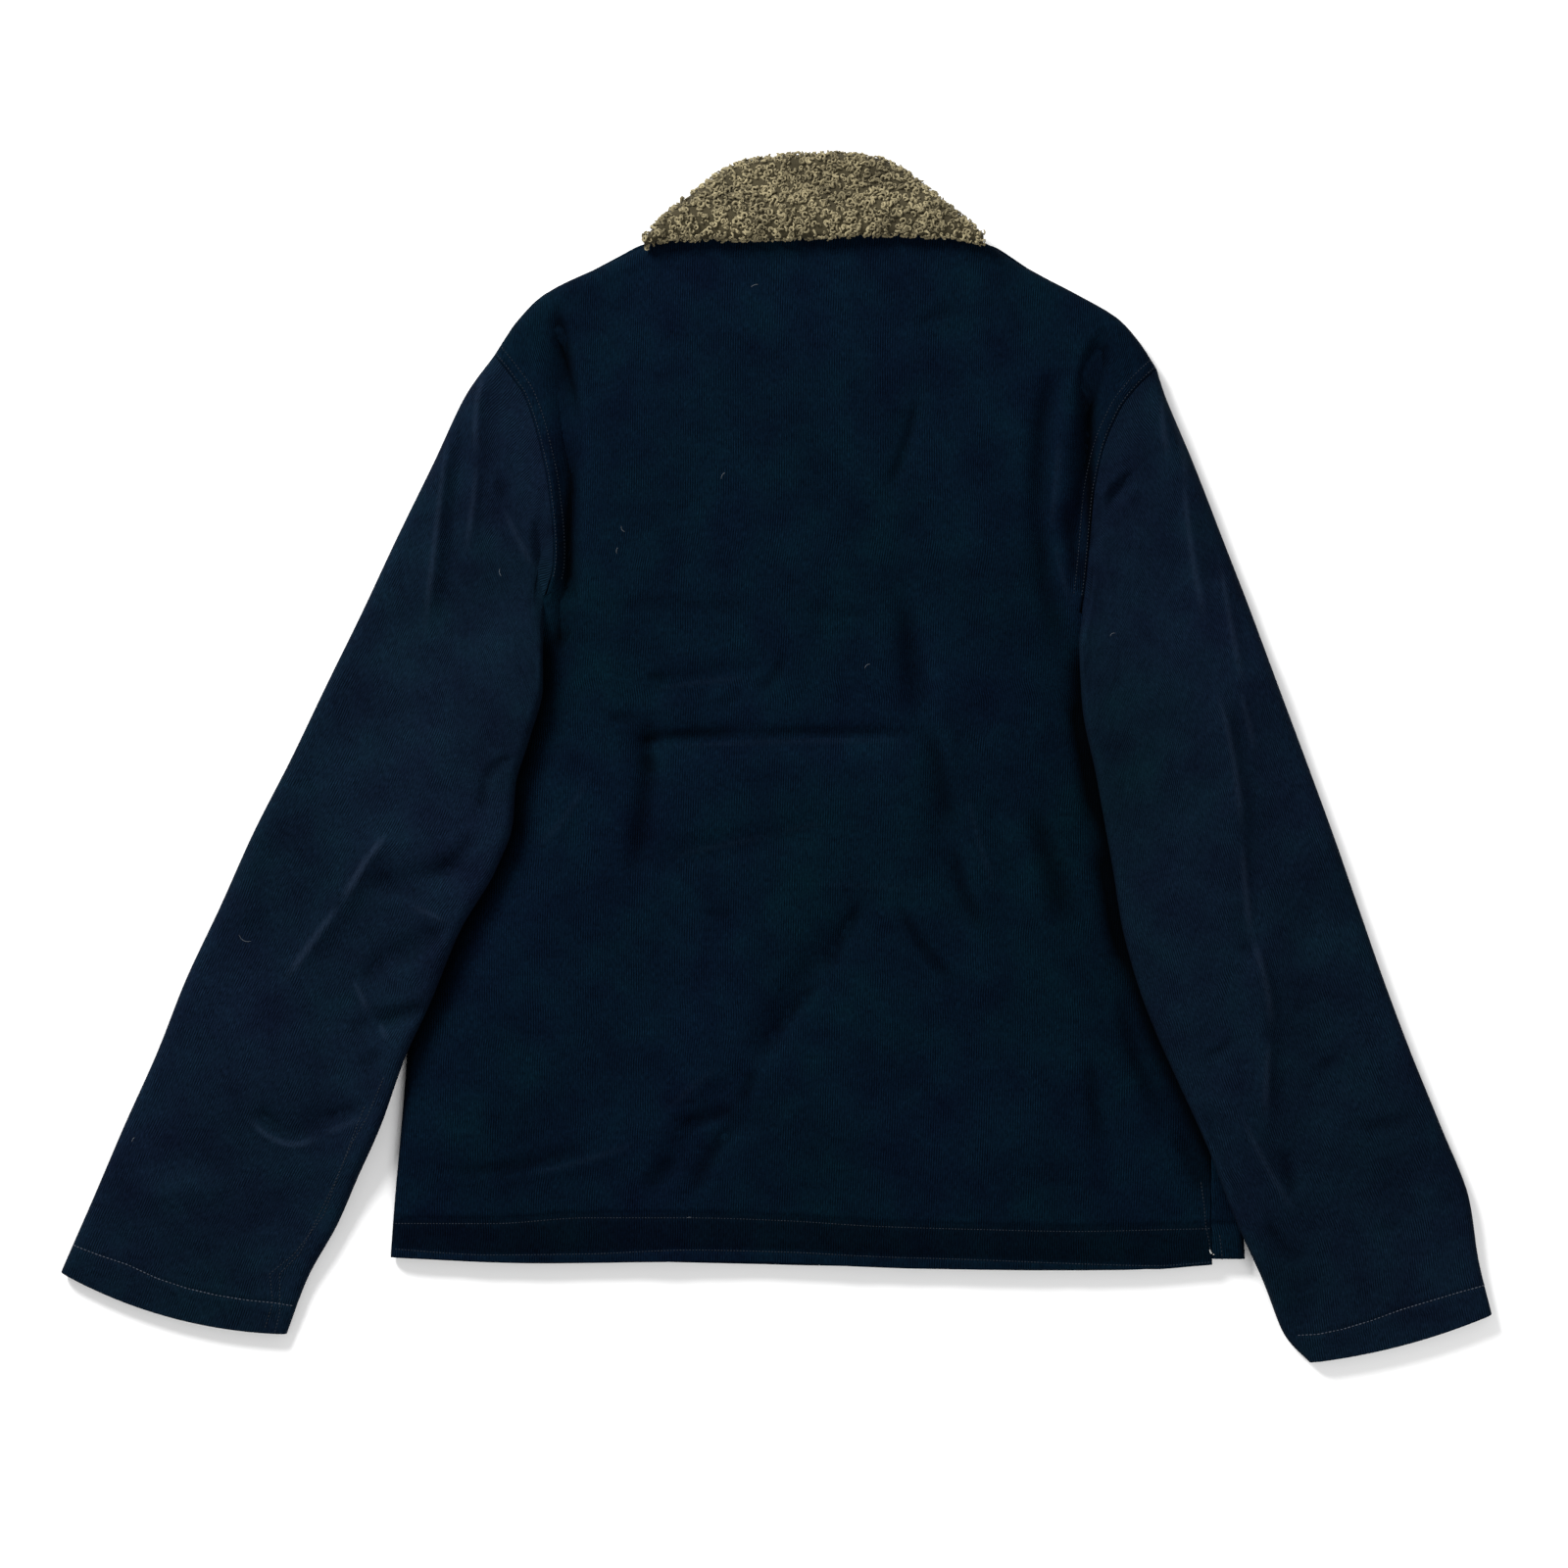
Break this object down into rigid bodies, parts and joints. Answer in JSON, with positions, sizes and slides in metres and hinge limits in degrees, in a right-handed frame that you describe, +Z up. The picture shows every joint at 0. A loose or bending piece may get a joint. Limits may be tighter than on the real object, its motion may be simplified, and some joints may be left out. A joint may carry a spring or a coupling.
{
  "type": "deck jacket laid flat",
  "caption": "Dark woven deck jacket laid flat on its front, back upward, sleeves down beside it, with a pile collar folded over the back neck.",
  "frame": {"origin": "centre of the overall box on the surface that the jacket lies on", "axes": "+Y towards the collar, +X to the side that is at the right when the back is seen, +Z up from the surface out of the back"},
  "size_m": [0.951, 0.804, 0.0327],
  "materials": {
    "shell_cloth": "matt dark navy ribbed cotton with a soft nap",
    "collar_pile": "curly olive-beige pile"
  },
  "bodies": {
    "root": {"back": "shell_cloth", "front_left": "shell_cloth", "front_right": "shell_cloth", "front_placket": "shell_cloth", "sleeve_left": "shell_cloth", "sleeve_right": "shell_cloth", "collar": "collar_pile", "collar_front_left": "collar_pile", "collar_front_right": "collar_pile"}
  },
  "joints": []
}
